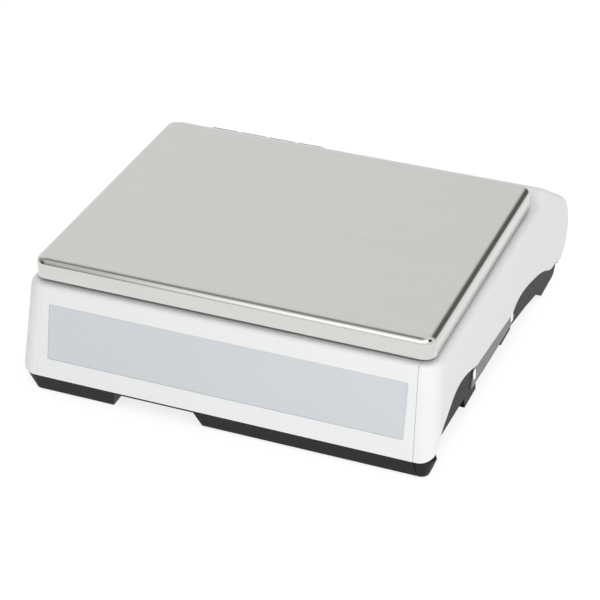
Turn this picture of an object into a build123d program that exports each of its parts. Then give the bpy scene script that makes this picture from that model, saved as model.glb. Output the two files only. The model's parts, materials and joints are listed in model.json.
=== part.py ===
from build123d import *
import math
import os

os.makedirs("parts", exist_ok=True)

# Retail price scale. Millimetres. +X is the customer's right, +Y runs from the customer to the
# operator, +Z is up. The origin is the centre of the footprint, on the counter top.

# ---- housing: side view --------------------------------------------------------------------
NEAR_Y = -184.0             # foot of the customer's face
FAR_Y = 184.0               # tip of the console's nose
LEDGE_Z = 97.0              # flat top of the housing, under the platter
SKIRT_TOP_Z = 21.8          # white to black line on the customer's face
NEAR_LEAN = 0.207           # run of the customer's face per mm of height
RIDGE_Y = 109.9             # top of the console
RIDGE_Z = 103.5
RIDGE_R = 8.0
VALLEY_R = 14.0             # hollow between the ledge and the ridge
SLOPE_DEG = 32.5            # fall of the operator's face
NOSE_R = 32.0

# ---- housing: front view -------------------------------------------------------------------
LEDGE_HALF = 170.5          # half width at the ledge
FLARE = 0.0625              # growth of each half width per mm below the ledge
CORNER_R = 15.0             # upright corners of the customer's face
SHOULDER_R = 5.0
WALL = 2.5
GAP = 0.3                   # between shells

# Lower edge of the white cover, along (Y, Z): a wave at the near corner, a straight run, a wave at the nose.
NEAR_WAVE = (
    (-178.3, 24.6), (-174.1, 28.2), (-170.6, 34.4), (-165.2, 40.4), (-154.4, 45.5),
    (-131.0, 54.8), (-114.0, 55.8), (-96.0, 52.2),
)
STRAIGHT_RUN = ((-79.0, 47.0), (15.5, 38.9))
FAR_WAVE = ((23.0, 41.8), (36.0, 43.2), (72.5, 37.8), (108.0, 26.6), (129.0, 17.8), (142.0, 16.2))
FAR_WAVE_END_Y = 152.0

# ---- base ----------------------------------------------------------------------------------
FLOOR_Z = 3.0               # underside of the base
BASE_INSET = WALL + GAP     # side walls of the base, behind the white cover
BLACK_TOP_Z = SKIRT_TOP_Z - 0.4
TRAY_TOP_Z = 61.0
TRAY_FAR_TOP_Z = 40.0
TRAY_FAR_Y = 151.0
TRAY_HEEL_R = 14.0
SKIRT_INSET = 1.0           # black skirt behind the white face
SKIRT_LEAN = 0.415
SKIRT_CORNER_R = 14.0
SHOE_LINE = ((-166.0, -5.0), (-173.2, 21.4), (-174.1, 28.2), (-174.1, 33.5))   # back of the corners
GRIP_LINE = ((-115.0, 31.8), (-60.0, 27.2), (20.0, 24.6), (60.0, 18.8), (97.0, 11.5), (112.0, -5.0))
TUB_HALF = 158.0            # the base is this wide below the hand grips
SEAM_HALF = 155.3           # half width of the front panel at its top
SEAM_FLARE = 0.033
LEFT_GAP = 0.06             # the seam on the left is closed up
PANEL_BACK_Y = -158.0       # the front panel reaches this far back over the ledge
GRIP_TABS = ((-104.0, -76.0), (-10.0, 16.0))       # along Y, where the side walls reach lower
GRIP_TAB_Z = 22.6
NOTCH_X = (-97.0, -17.0)    # finger notch in the front skirt
NOTCH_TOP_Z = 18.5
NOTCH_BACK_Y = -146.0
NOTCH_SLOPE = 6.0

# ---- platter and weighing platform ---------------------------------------------------------
PLATTER_Y = -37.2
PLATTER_X_SIZE = 330.0
PLATTER_Y_SIZE = 254.0
PLATTER_TOP_Z = 118.0
PLATTER_HEIGHT = 17.0
SHEET = 1.0
PLATTER_CORNER_R = 10.0
PLATTER_EDGE_R = 6.0
PAD_X = 140.0
PAD_Y = 100.0
PAD_R = 8.0
PAD_HEIGHT = 6.0
SPIDER_Z = 101.0
SPIDER_HEIGHT = 10.0
CHASSIS_Z = 56.0
CHASSIS_T = 4.0
CHASSIS_SIZE = (214.0, 144.0)
CHASSIS_POST = (95.0, 60.0)
SPACER_T = 4.0
CELL_LENGTH = 130.0
CELL_WIDTH = 30.0
CELL_HEIGHT = 20.0
CELL_HOLE_R = 7.0
CELL_HOLE_X = 14.0
CELL_SLOT = 4.0
CELL_FOOT = 32.0            # length of each clamped end
CELL_SCREW_X = (40.0, 57.0)
CELL_SCREW_R = 3.0
CELL_Z = CHASSIS_Z + CHASSIS_T + SPACER_T
CELL_TOP = CELL_Z + CELL_HEIGHT
OVERLOAD_GAP = 0.6
CABLE_X = -93.0
CABLE_R = 1.75
CABLE_LOW_Z = 22.0
CABLE_BENDS = (12.5, 21.0)
ARM_HALF = 9.0
FIT = 0.05                  # radial running clearance

# ---- window on the customer's side ---------------------------------------------------------
WINDOW_SIZE = (298.0, 46.6)
WINDOW_Z = 60.3
WINDOW_T = 1.5
WINDOW_SINK = 0.4
WINDOW_RIM = 4.0
PANEL_BOARD_TOP = -7.0      # depth of the customer's board behind the face

# ---- operator's console --------------------------------------------------------------------
KEY_SIZE = (23.0, 11.4)
KEY_PITCH = (27.0, 14.0)
KEY_FIRST_X = -46.0
KEY_RISE = 1.0              # top of a key above the console's face
KEY_TRAVEL = 1.2
KEY_CORNER_R = 1.3
KEY_EDGE_R = 0.6
KEY_FLANGE = (1.2, 1.0)     # reach to each side and thickness
KEY_NAMES = [
    ["key_7", "key_8", "key_9", "key_tare"],
    ["key_4", "key_5", "key_6", "key_zero"],
    ["key_1", "key_2", "key_3", "key_memory"],
    ["key_0", "key_point", "key_clear", "key_total"],
]
SWITCH_SIZE = 6.0
SWITCH_TOP = -7.9           # depth of the switches below the console's face
BOARD_TOP = -10.4
BOARD_T = 1.6
LCD_WINDOW = (124.0, 40.0)
LCD_X = 82.0
CONSOLE_POST = ((-146, 24, 146), (-23, 23))
CONSOLE_BOARD = (304.0, 58.0)
PANEL_POST = (125.0, 26.0)
PANEL_BOARD = (262.0, 58.0)
PANEL_LCD = (228.0, 34.0)

# ---- bubble level, on the ledge under the platter ------------------------------------------
LEVEL_Y = 62.0
LEVEL_R = 8.0
LEVEL_RIM = 1.6

# ---- sockets and switch, on the left wall of the base --------------------------------------
PAD_FACE_X = -172.4
SWITCH_AT = (-125.0, 43.5)  # (Y, Z) on the left wall
JACK_AT = (-98.0, 42.0)
PORT_AT = (42.0, 33.0)
PORT_SCREW = 12.5            # half of the distance between the port's jack nuts
ROCKER_TILT = 8.0
ROCKER_PIVOT = 3.5          # depth of the rocker's pin below the rim of its frame
RIM = 1.5

# ---- data plate and seals, on the right wall of the base, (Y, Z) ----------------------------
PLATE_OUTLINE = ((-90.0, 30.2), (17.0, 26.6), (26.0, 31.5), (16.0, 38.2), (-79.0, 46.2))
PLATE_T = 0.8
STICKER_SIZE = (6.0, 9.0)
STICKER_T = 0.25
STICKERS = ((-80.5, 39.0), (18.0, 33.5))

# ---- feet, battery, fasteners --------------------------------------------------------------
NEAR_FOOT = (140.0, -150.0)
FAR_FOOT = (157.0, 116.0)
FOOT_R = 13.0
FOOT_PAD_T = 5.0
FOOT_POCKET_TOP = 9.5
STUD_R = 4.0
COVER_POST = [(146.0, -122.0), (146.0, 70.0)]
COVER_SCREW_Z = 50.0
BATTERY_SIZE = (101.0, 70.0, 47.0)
BATTERY_Y = 82.5
DOOR_SIZE = (113.0, 80.0)
DOOR_TRAVEL = 60.0
DOOR_T = 2.0
DOOR_Z = 4.2
BAY_TOP_Z = 6.5
BOARD_AT = (18.0, -60.0)
BOARD_SIZE = (130.0, 80.0)
BOARD_Z = 16.0

FAR_AWAY = 260.0            # larger than the scale, for cutting blocks


# ---- helpers -------------------------------------------------------------------------------
def near_y(z):
    """Y of the customer's face at height z."""
    return NEAR_Y + NEAR_LEAN * (z - SKIRT_TOP_Z)


def half_width(z):
    """Half width of the housing at height z."""
    return LEDGE_HALF + FLARE * (LEDGE_Z - z)


def block(x, y, z):
    """Box from three (low, high) pairs."""
    size = Box(x[1] - x[0], y[1] - y[0], z[1] - z[0], align=(Align.MIN, Align.MIN, Align.MIN))
    return Pos(x[0], y[0], z[0]) * size


def rod(x, y, z_low, z_high, radius):
    """Upright cylinder."""
    bar = Cylinder(radius, z_high - z_low, align=(Align.CENTER, Align.CENTER, Align.MIN))
    return Pos(x, y, z_low) * bar


def side_block(outline, x_low, x_high):
    """Block with a side view outline in (Y, Z), from x_low to x_high."""
    return extrude(Plane.YZ.offset(x_low) * outline, amount=x_high - x_low, dir=(1, 0, 0))


def front_block(outline, y_low, y_high):
    """Block with a front view outline in (X, Z), from y_low to y_high."""
    return extrude(Plane.XZ.offset(-y_high) * outline, amount=y_high - y_low, dir=(0, -1, 0))


def mirrored(shape):
    """The shape and its mirror image across the middle of the scale."""
    return shape + mirror(shape, Plane.YZ)


def save(name, shape):
    export_step(shape, "parts/" + name + ".step")


# ---- console geometry ----------------------------------------------------------------------
SLOPE = math.radians(SLOPE_DEG)
SLOPE_NORMAL = (math.sin(SLOPE), math.cos(SLOPE))
RIDGE_CENTRE = (RIDGE_Y, RIDGE_Z - RIDGE_R)
NOSE_Y = FAR_Y - NOSE_R
SLOPE_LEVEL = SLOPE_NORMAL[0] * RIDGE_CENTRE[0] + SLOPE_NORMAL[1] * RIDGE_CENTRE[1] + RIDGE_R
NOSE_CENTRE = (NOSE_Y, (SLOPE_LEVEL - NOSE_R - SLOPE_NORMAL[0] * NOSE_Y) / SLOPE_NORMAL[1])
HOUSING_LOW_Z = NOSE_CENTRE[1] - NOSE_R
SLOPE_TOP = (RIDGE_CENTRE[0] + RIDGE_R * SLOPE_NORMAL[0], RIDGE_CENTRE[1] + RIDGE_R * SLOPE_NORMAL[1])
SLOPE_LOW = (NOSE_CENTRE[0] + NOSE_R * SLOPE_NORMAL[0], NOSE_CENTRE[1] + NOSE_R * SLOPE_NORMAL[1])
SLOPE_MID = ((SLOPE_TOP[0] + SLOPE_LOW[0]) / 2, (SLOPE_TOP[1] + SLOPE_LOW[1]) / 2)
# Operator's face: x to the operator's right, y up the slope, z out of the face.
CONSOLE = Plane(
    origin=(0, SLOPE_MID[0], SLOPE_MID[1]),
    x_dir=(-1, 0, 0),
    z_dir=(0, SLOPE_NORMAL[0], SLOPE_NORMAL[1]),
)
# Flat top of the housing at the bubble level.
LEDGE = Plane(origin=(0, LEVEL_Y, LEDGE_Z), x_dir=(1, 0, 0), z_dir=(0, 0, 1))
LEAN = math.atan(NEAR_LEAN)
# Customer's face: x to the customer's right, y up the face, z out of the face.
FACE = Plane(
    origin=(0, near_y(WINDOW_Z), WINDOW_Z),
    x_dir=(1, 0, 0),
    z_dir=(0, -math.cos(LEAN), math.sin(LEAN)),
)
# Left wall of the base: x towards the customer's side, y up, z out of the wall.
LEFT = Plane(origin=(PAD_FACE_X, 0, 0), x_dir=(0, -1, 0), z_dir=(-1, 0, 0))


def on_left(at):
    """Place on the left wall, from (Y, Z)."""
    return (-at[0], at[1])


def slab(plane, centre, size, low, high, radius=0.0):
    """Rectangular slab on a plane, between two heights above it."""
    outline = RectangleRounded(size[0], size[1], radius) if radius else Rectangle(size[0], size[1])
    return plane * Pos(centre[0], centre[1], low) * extrude(outline, amount=high - low)


def disc(plane, centre, radius, low, high):
    """Round slab on a plane, between two heights above it."""
    return plane * Pos(centre[0], centre[1], low) * extrude(Circle(radius), amount=high - low)


# ---- housing shell -------------------------------------------------------------------------
def housing_side_view():
    """Side view of the housing: customer's face, ledge, ridge, operator's slope and nose."""
    reach = RIDGE_R + VALLEY_R
    drop = LEDGE_Z + VALLEY_R - RIDGE_CENTRE[1]
    valley = (RIDGE_Y - math.sqrt(reach ** 2 - drop ** 2), LEDGE_Z + VALLEY_R)
    turn = math.degrees(math.atan2(-drop, RIDGE_Y - valley[0]))
    lean = 90 - SLOPE_DEG
    hollow = CenterArc(valley, VALLEY_R, -90, turn + 90)
    ridge = CenterArc(RIDGE_CENTRE, RIDGE_R, 180 + turn, lean - 180 - turn)
    nose = CenterArc(NOSE_CENTRE, NOSE_R, lean, -90 - lean)
    foot = (near_y(HOUSING_LOW_Z), HOUSING_LOW_Z)
    top = (near_y(LEDGE_Z), LEDGE_Z)
    straight = Line(foot, top) + Line(top, hollow @ 0) + Line(ridge @ 1, nose @ 0) + Line(nose @ 1, foot)
    return make_face(straight + hollow + ridge + nose)


def front_view(inset):
    """Both flared sides, over the full height and depth."""
    low, high = (half_width(-FLOOR_Z) - inset, half_width(PLATTER_TOP_Z) - inset)
    bottom, top = (-FLOOR_Z, PLATTER_TOP_Z)
    outline = Polygon((-low, bottom), (low, bottom), (high, top), (-high, top), align=None)
    return front_block(outline, -FAR_AWAY, FAR_AWAY)


def housing_form(inset):
    """Solid inside of the housing, drawn in by inset on every side, with its upright near corners."""
    side = housing_side_view()
    if inset:
        side = offset(side, amount=-inset, kind=Kind.INTERSECTION)
    body = extrude(Plane.YZ * side, amount=FAR_AWAY, both=True)
    body = body & front_view(inset)
    uprights = [e for e in body.edges() if (e @ 0.5).Y < -150 and abs((e @ 0.5).X) > 150 and e.length > 50
                and abs((e % 0.5).Z) > 0.8]
    return fillet(uprights, CORNER_R - inset)


def shoulder_edges(body):
    """Edges of the customer's face top and of both sides, all round the outline of the housing."""
    chosen = []
    for edge in body.edges():
        ends = [edge @ 0, edge @ 0.5, edge @ 1]
        low = all(p.Z < HOUSING_LOW_Z + 0.1 for p in ends)
        on_side = all(abs(abs(p.X) - half_width(p.Z)) < 0.05 for p in ends)
        upright = abs((edge % 0.5).Z) > 0.8 and ends[1].Y < -150
        front_top = all(abs(p.Z - LEDGE_Z) < 0.05 and p.Y < -150 for p in ends)
        if front_top or (on_side and not low and not upright):
            chosen.append(edge)
    return chosen


def lower_edge():
    """Everything above the wavy lower edge of the white cover, as a block."""
    start = (NEAR_Y, SKIRT_TOP_Z)
    end = (FAR_WAVE_END_Y, HOUSING_LOW_Z - 0.5)
    near = Spline(start, *NEAR_WAVE, STRAIGHT_RUN[0])
    strip = Line(*STRAIGHT_RUN)
    far = Spline(STRAIGHT_RUN[1], *FAR_WAVE, end)
    high = PLATTER_TOP_Z
    rest = Polyline(
        end, (FAR_AWAY, end[1]), (FAR_AWAY, high), (-FAR_AWAY, high), (-FAR_AWAY, SKIRT_TOP_Z), start)
    return side_block(make_face(near + strip + far + rest), -FAR_AWAY, FAR_AWAY)


def panel_zone(gap):
    """Block that holds the front panel, between its two seams; gap makes it wider."""
    low, high = (SEAM_HALF + SEAM_FLARE * LEDGE_Z, SEAM_HALF - SEAM_FLARE * RIDGE_R)
    left = min(gap, LEFT_GAP)
    top = LEDGE_Z + RIDGE_R
    outline = Polygon(
        (-low - left, 0), (low + gap, 0), (high + gap, top), (-high - left, top), align=None)
    return front_block(outline, -FAR_AWAY, PANEL_BACK_Y + gap)


def housing_shell():
    outer = housing_form(0)
    outer = fillet(shoulder_edges(outer), SHOULDER_R)
    return (outer - housing_form(WALL)) & lower_edge()


# ---- base shell ----------------------------------------------------------------------------
def skirt_y(z):
    """Y of the black skirt's face at height z."""
    return NEAR_Y + SKIRT_INSET + SKIRT_LEAN * (SKIRT_TOP_Z - z)


def skirt_layer(front, back, half, low, high):
    """Plate that follows the skirt's lean, between two depths behind its face."""
    outline = Polygon(
        (skirt_y(low) + front, low), (skirt_y(low) + back, low),
        (skirt_y(high) + back, high), (skirt_y(high) + front, high), align=None)
    return side_block(outline, -half, half)


def foot_form(inset):
    """Leaning skirt of the front corners: a rounded rectangle that narrows towards the counter."""
    half = half_width(BLACK_TOP_Z) - SKIRT_INSET - inset
    near = skirt_y(BLACK_TOP_Z) + inset
    outline = RectangleRounded(2 * half, -2 * near, SKIRT_CORNER_R - inset)
    depth = BLACK_TOP_Z - FLOOR_Z - inset
    lean = math.degrees(math.atan(SKIRT_LEAN))
    return Pos(0, 0, BLACK_TOP_Z) * extrude(outline, amount=depth, dir=(0, 0, -1), taper=lean)


def shoe_rise():
    """Tops of the black front corners, which run up to a point under the white cover's edge."""
    foot, tip = (SHOE_LINE[1], SHOE_LINE[2])
    zone = Polygon(foot, tip, (tip[0], RIDGE_Z), (-FAR_AWAY, RIDGE_Z), (-FAR_AWAY, foot[1]), align=None)
    rise = housing_form(SKIRT_INSET) & side_block(zone, -FAR_AWAY, FAR_AWAY)
    rise -= Pos(0, 0, -GAP) * lower_edge()
    seam = SEAM_HALF + SEAM_FLARE * LEDGE_Z + GAP
    return rise - block((-seam, seam), (-FAR_AWAY, FAR_AWAY), (0, RIDGE_Z))


def hand_grip(inset):
    """Undercut along both sides, where fingers reach under the housing."""
    outline = Polygon(*SHOE_LINE, *GRIP_LINE, align=None)
    if inset:
        outline = offset(outline, amount=inset, kind=Kind.INTERSECTION)
    grip = side_block(outline, TUB_HALF - inset, FAR_AWAY)
    for low, high in GRIP_TABS:
        tab = block((TUB_HALF - inset, FAR_AWAY), (low + inset, high - inset), (GRIP_TAB_Z + inset, LEDGE_Z))
        grip -= tab
    return mirrored(grip)


def finger_notch(inset):
    """Recess behind the notch of the front skirt."""
    low, high = NOTCH_X
    outline = Polygon((low, -FLOOR_Z), (high, -FLOOR_Z), (high - NOTCH_SLOPE, NOTCH_TOP_Z),
                      (low + NOTCH_SLOPE, NOTCH_TOP_Z), align=None)
    if inset:
        outline = offset(outline, amount=inset, kind=Kind.INTERSECTION)
    return front_block(outline, -FAR_AWAY, NOTCH_BACK_Y + inset)


def foot_places():
    places = []
    for x, y in (NEAR_FOOT, FAR_FOOT):
        places += [(x, y), (-x, y)]
    return places


def battery_bay(inset):
    half = DOOR_SIZE[0] / 2 + 5 + inset
    low = BATTERY_Y - DOOR_SIZE[1] / 2 - DOOR_TRAVEL - 3 - inset
    high = BATTERY_Y + DOOR_SIZE[1] / 2 + 3 + inset
    return block((-half, half), (low, high), (-FLOOR_Z, BAY_TOP_Z + inset))


def base_form(inset):
    """Solid inside of the base, drawn in by inset on every side but the open top."""
    top = TRAY_TOP_Z + 2 * inset
    heel_y = TRAY_FAR_Y - TRAY_HEEL_R
    heel = CenterArc((heel_y, FLOOR_Z + TRAY_HEEL_R), TRAY_HEEL_R, -90, 90)
    outline = make_face(heel + Polyline(
        heel @ 1, (TRAY_FAR_Y, top), (-FAR_AWAY, top), (-FAR_AWAY, FLOOR_Z), heel @ 0))
    if inset:
        outline = offset(outline, amount=-inset, kind=Kind.INTERSECTION)
    near_line = near_y(FLOOR_Z) + 2 * BASE_INSET + inset
    lower_top = HOUSING_LOW_Z + 2 * WALL + BASE_INSET
    lower = block((-FAR_AWAY, FAR_AWAY), (near_line, TRAY_FAR_Y), (FLOOR_Z, lower_top))
    body = housing_form(BASE_INSET + inset) + (lower & front_view(BASE_INSET + inset))
    body = body & side_block(outline, -FAR_AWAY, FAR_AWAY)
    low, high = (SHOE_LINE[0], SHOE_LINE[1])
    corner = Polygon(low, high, (-FAR_AWAY, high[1]), (-FAR_AWAY, low[1]), align=None)
    corners = side_block(corner, -FAR_AWAY, FAR_AWAY)
    body = (body - corners) + (foot_form(inset) & corners)
    body -= hand_grip(inset) + finger_notch(inset) + battery_bay(inset)
    for x, y in foot_places():
        body -= rod(x, y, -FLOOR_Z, FOOT_POCKET_TOP + inset, FOOT_R + 0.7 + inset)
    return body


def base_shell():
    """Base walls and floor, with the front left open for the skirt and the customer's panel."""
    tray = base_form(0) + shoe_rise() - base_form(WALL)
    far_walls = (TRAY_FAR_Y - 2 * TRAY_HEEL_R, FAR_AWAY)
    tray -= block((-FAR_AWAY, FAR_AWAY), far_walls, (TRAY_FAR_TOP_Z, FAR_AWAY))
    tray -= block((-150, 150), (-FAR_AWAY, -165), (26, FAR_AWAY))
    seam = SEAM_HALF + SEAM_FLARE * LEDGE_Z + GAP
    tray -= skirt_layer(-5, BASE_INSET, seam, 0, BLACK_TOP_Z)
    inner_wall = skirt_layer(BASE_INSET, 2 * WALL + GAP + 1, seam + 1, FLOOR_Z, 24) - finger_notch(0)
    return tray + inner_wall


def battery_case():
    """Walls and roof round the battery, standing on the floor of the base."""
    half_x, half_y = (BATTERY_SIZE[0] / 2 + 1.5, BATTERY_SIZE[1] / 2 + 1.5)
    top = DOOR_Z + DOOR_T + BATTERY_SIZE[2] + 2
    y = (BATTERY_Y - half_y, BATTERY_Y + half_y)
    case = block((-half_x - WALL, half_x + WALL), (y[0] - WALL, y[1] + WALL), (BAY_TOP_Z + 1, top + 2))
    well = block((-half_x, half_x), y, (-FLOOR_Z, top))
    lead_hole = rod(half_x - 12, BATTERY_Y, top - 1, top + 3, 5)
    return case - lead_hole, well


def door_rails():
    """Two L-shaped rails under the battery bay that carry the sliding door."""
    half = DOOR_SIZE[0] / 2
    y = (BATTERY_Y - DOOR_SIZE[1] / 2 - DOOR_TRAVEL - 1, BATTERY_Y + DOOR_SIZE[1] / 2 + 1)
    rail = block((half + 0.5, half + 3), y, (FLOOR_Z + 0.2, BAY_TOP_Z + 1))
    lip = block((half - 3, half + 3), y, (FLOOR_Z + 0.2, FLOOR_Z + 0.9))
    return mirrored(rail + lip)


def wall_pad(at, size):
    """Flat upright pad on the left wall of the base."""
    y, z = at
    half_y, half_z = (size[0] / 2, size[1] / 2)
    return block((PAD_FACE_X, -TUB_HALF - 8), (y - half_y, y + half_y), (z - half_z, z + half_z))


def base_tray():
    tray = base_shell()
    case, well = battery_case()
    tray = tray + case - well + door_rails()
    for x, y in foot_places():
        tray += rod(x, y, FOOT_POCKET_TOP, FOOT_POCKET_TOP + 26, 8)
        tray -= rod(x, y, FLOOR_Z, FOOT_POCKET_TOP + 27, STUD_R + FIT)
    for x, y in COVER_POST:
        tray += mirrored(rod(x, y, FLOOR_Z + 0.5, TRAY_TOP_Z + 1, 6))
        tray -= mirrored(rod(x, y, 0, COVER_SCREW_Z, 4.3) + rod(x, y, 0, FAR_AWAY, 2.3))
    for x, y in chassis_posts():
        tray += rod(x, y, FLOOR_Z + 0.5, CHASSIS_Z, 6)
        tray -= rod(x, y, CHASSIS_Z - 16, CHASSIS_Z + 1, 2 + FIT)
    for x, y in board_posts():
        tray += rod(x, y, FLOOR_Z + 0.5, BOARD_Z, 3.5)
        tray -= rod(x, y, BOARD_Z - 7, BOARD_Z + 1, 1.5 + FIT)
    tray += wall_pad(SWITCH_AT, (26, 17)) + wall_pad(JACK_AT, (17, 15)) + wall_pad(PORT_AT, (34, 14.5))
    tray -= slab(LEFT, on_left(SWITCH_AT), (19.4, 13.4), -30, 5)
    tray -= disc(LEFT, on_left(JACK_AT), 5.6, -30, 5)
    tray -= slab(LEFT, on_left(PORT_AT), (19.4, 9.4), -30, 5)
    for side in (-1, 1):
        tray -= disc(LEFT, (on_left(PORT_AT)[0] + side * PORT_SCREW, PORT_AT[1]), 1.6, -30, 5)
    return tray


def chassis_posts():
    x, y = CHASSIS_POST
    return [(i * x, PLATTER_Y + j * y) for i in (-1, 1) for j in (-1, 1)]


def board_posts():
    x, y = BOARD_AT
    reach = (BOARD_SIZE[0] / 2 - 6, BOARD_SIZE[1] / 2 - 6)
    return [(x + i * reach[0], y + j * reach[1]) for i in (-1, 1) for j in (-1, 1)]


def front_skirt():
    seam = SEAM_HALF + SEAM_FLARE * LEDGE_Z + GAP
    left_half = skirt_layer(0, WALL, seam - LEFT_GAP, FLOOR_Z, BLACK_TOP_Z)
    left_half = left_half & block((-FAR_AWAY, 0), (-FAR_AWAY, 0), (0, LEDGE_Z))
    right_half = skirt_layer(0, WALL, FAR_AWAY, FLOOR_Z, BLACK_TOP_Z) & panel_zone(0)
    return left_half + (right_half & block((-1, FAR_AWAY), (-FAR_AWAY, 0), (0, LEDGE_Z))) - finger_notch(0)


# ---- white shells --------------------------------------------------------------------------
def key_places():
    """Name and place of every key on the operator's face."""
    places = []
    for row, names in enumerate(KEY_NAMES):
        for column, name in enumerate(names):
            x = -KEY_FIRST_X + column * KEY_PITCH[0]
            y = (1.5 - row) * KEY_PITCH[1]
            places.append((name, (x, y)))
    return places


def console_posts():
    return [(x, y) for x in CONSOLE_POST[0] for y in CONSOLE_POST[1]]


def upper_cover():
    cover = housing_shell() - panel_zone(GAP)
    spacer_x = (CELL_LENGTH / 2 - CELL_FOOT - 8, CELL_LENGTH / 2 + 8)
    spacer_y = (PLATTER_Y - CELL_WIDTH / 2 - 8, PLATTER_Y + CELL_WIDTH / 2 + 8)
    cover -= block(spacer_x, spacer_y, (LEDGE_Z - 2 * WALL, LEDGE_Z + WALL))
    for _, place in key_places():
        cover -= slab(CONSOLE, place, (KEY_SIZE[0] + 2 * GAP, KEY_SIZE[1] + 2 * GAP), -2 * WALL, WALL, 1.4)
    lcd = (-LCD_X, 0)
    cover -= slab(CONSOLE, lcd, (LCD_WINDOW[0] - 8, LCD_WINDOW[1] - 8), -2 * WALL, WALL, 1.5)
    cover -= slab(CONSOLE, lcd, (LCD_WINDOW[0] + 2 * GAP, LCD_WINDOW[1] + 2 * GAP), -1.9, WALL, 2.5)
    cover -= disc(LEDGE, (0, 0), LEVEL_R + GAP, -2 * WALL, WALL)
    for x, y in COVER_POST:
        cover += mirrored(rod(x, y, TRAY_TOP_Z + 1.3, LEDGE_Z - 1, 5.5))
        cover -= mirrored(rod(x, y, TRAY_TOP_Z, LEDGE_Z - 5, 2 + FIT))
    for place in console_posts():
        cover += disc(CONSOLE, place, 3.2, BOARD_TOP, -1)
        cover -= disc(CONSOLE, place, 1.5 + FIT, BOARD_TOP - 1, -4)
    return cover


def panel_posts():
    return [(i * PANEL_POST[0], j * PANEL_POST[1]) for i in (-1, 1) for j in (-1, 1)]


def front_panel():
    panel = housing_shell() & panel_zone(0)
    panel -= slab(FACE, (0, 0), (WINDOW_SIZE[0] - 2 * WINDOW_RIM, WINDOW_SIZE[1] - 2 * WINDOW_RIM), -9, 3, 2)
    panel -= slab(FACE, (0, 0), WINDOW_SIZE, -WINDOW_SINK - WINDOW_T, 3, 1.6)
    for place in panel_posts():
        panel += disc(FACE, place, 3.2, PANEL_BOARD_TOP, -WALL + 0.4)
        panel -= disc(FACE, place, 1.5 + FIT, PANEL_BOARD_TOP - 1, -2)
    return panel


def front_window():
    size = (WINDOW_SIZE[0] - GAP, WINDOW_SIZE[1] - GAP)
    return slab(FACE, (0, 0), size, -WINDOW_SINK - WINDOW_T, -WINDOW_SINK, 1.5)


# ---- displays, keys and level --------------------------------------------------------------
def customer_lcd():
    return slab(FACE, (0, 0), PANEL_LCD, PANEL_BOARD_TOP, -WINDOW_SINK - WINDOW_T - GAP)


def screw_down(plane, place, top, head_r, head_t, shank_r, length):
    """Screw whose head sits on a plane's back side at height top and whose shank points out of it."""
    return disc(plane, place, head_r, top - head_t, top) + disc(plane, place, shank_r, top, top + length)


def customer_board():
    board = slab(FACE, (0, 0), PANEL_BOARD, PANEL_BOARD_TOP - BOARD_T, PANEL_BOARD_TOP, 3)
    for place in panel_posts():
        board -= disc(FACE, place, 1.7, -20, 0)
    chip = slab(FACE, (30, -8), (18, 12), PANEL_BOARD_TOP - BOARD_T - 2, PANEL_BOARD_TOP - BOARD_T)
    plug = slab(FACE, (-60, -8), (22, 6), PANEL_BOARD_TOP - BOARD_T - 6, PANEL_BOARD_TOP - BOARD_T)
    return board + chip + plug


def operator_window():
    return slab(CONSOLE, (-LCD_X, 0), LCD_WINDOW, -1.8, -GAP, 2.2)


def operator_lcd():
    return slab(CONSOLE, (-LCD_X, 0), (LCD_WINDOW[0] - 4, LCD_WINDOW[1] - 2), BOARD_TOP, -4)


def console_board():
    board = slab(CONSOLE, (0, 0), CONSOLE_BOARD, BOARD_TOP - BOARD_T, BOARD_TOP, 2)
    for place in console_posts():
        board -= disc(CONSOLE, place, 1.7, -20, 0)
    chip = slab(CONSOLE, (-60, 0), (16, 16), BOARD_TOP - BOARD_T - 2, BOARD_TOP - BOARD_T)
    plug = slab(CONSOLE, (-10, 0), (6, 22), BOARD_TOP - BOARD_T - 6, BOARD_TOP - BOARD_T)
    return board + chip + plug


def key_switches():
    """Push switches under the keys, one solid for each key."""
    switches = []
    for _, place in key_places():
        base = slab(CONSOLE, place, (SWITCH_SIZE, SWITCH_SIZE), BOARD_TOP, SWITCH_TOP - 1)
        switches.append(base + disc(CONSOLE, place, 1.7, SWITCH_TOP - 1.5, SWITCH_TOP))
    return Compound(switches)


def key_cap(place):
    """Key with a rounded cap, a flange that holds it under the cover, and a stem."""
    reach, thick = KEY_FLANGE
    low = -WALL - 0.4
    cap = slab(Plane.XY, place, KEY_SIZE, low, KEY_RISE, KEY_CORNER_R)
    cap = fillet(cap.faces().sort_by(Axis.Z)[-1].edges(), KEY_EDGE_R)
    flange = slab(Plane.XY, place, (KEY_SIZE[0] + 2 * reach, KEY_SIZE[1]), low - thick, low)
    stem = slab(Plane.XY, place, (5, 5), SWITCH_TOP + KEY_TRAVEL + 0.2, low - thick / 2)
    return CONSOLE * (cap + flange + stem)


def level_ring():
    ring = disc(LEDGE, (0, 0), LEVEL_R, -WALL, 0) + disc(LEDGE, (0, 0), LEVEL_R + LEVEL_RIM, 0, 1)
    return ring - disc(LEDGE, (0, 0), LEVEL_R - LEVEL_RIM, -WALL + 0.8, 3)


def level_vial():
    return disc(LEDGE, (0, 0), LEVEL_R - LEVEL_RIM - FIT, -WALL + 0.8, 0.8)


# ---- weighing platform ---------------------------------------------------------------------
def platter():
    pan = Pos(0, PLATTER_Y, PLATTER_TOP_Z - PLATTER_HEIGHT) * pan_form(0, PLATTER_HEIGHT)
    low = PLATTER_TOP_Z - PLATTER_HEIGHT - 1
    hollow = Pos(0, PLATTER_Y, low) * pan_form(SHEET, PLATTER_HEIGHT + 1 - SHEET)
    return pan - hollow


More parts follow.
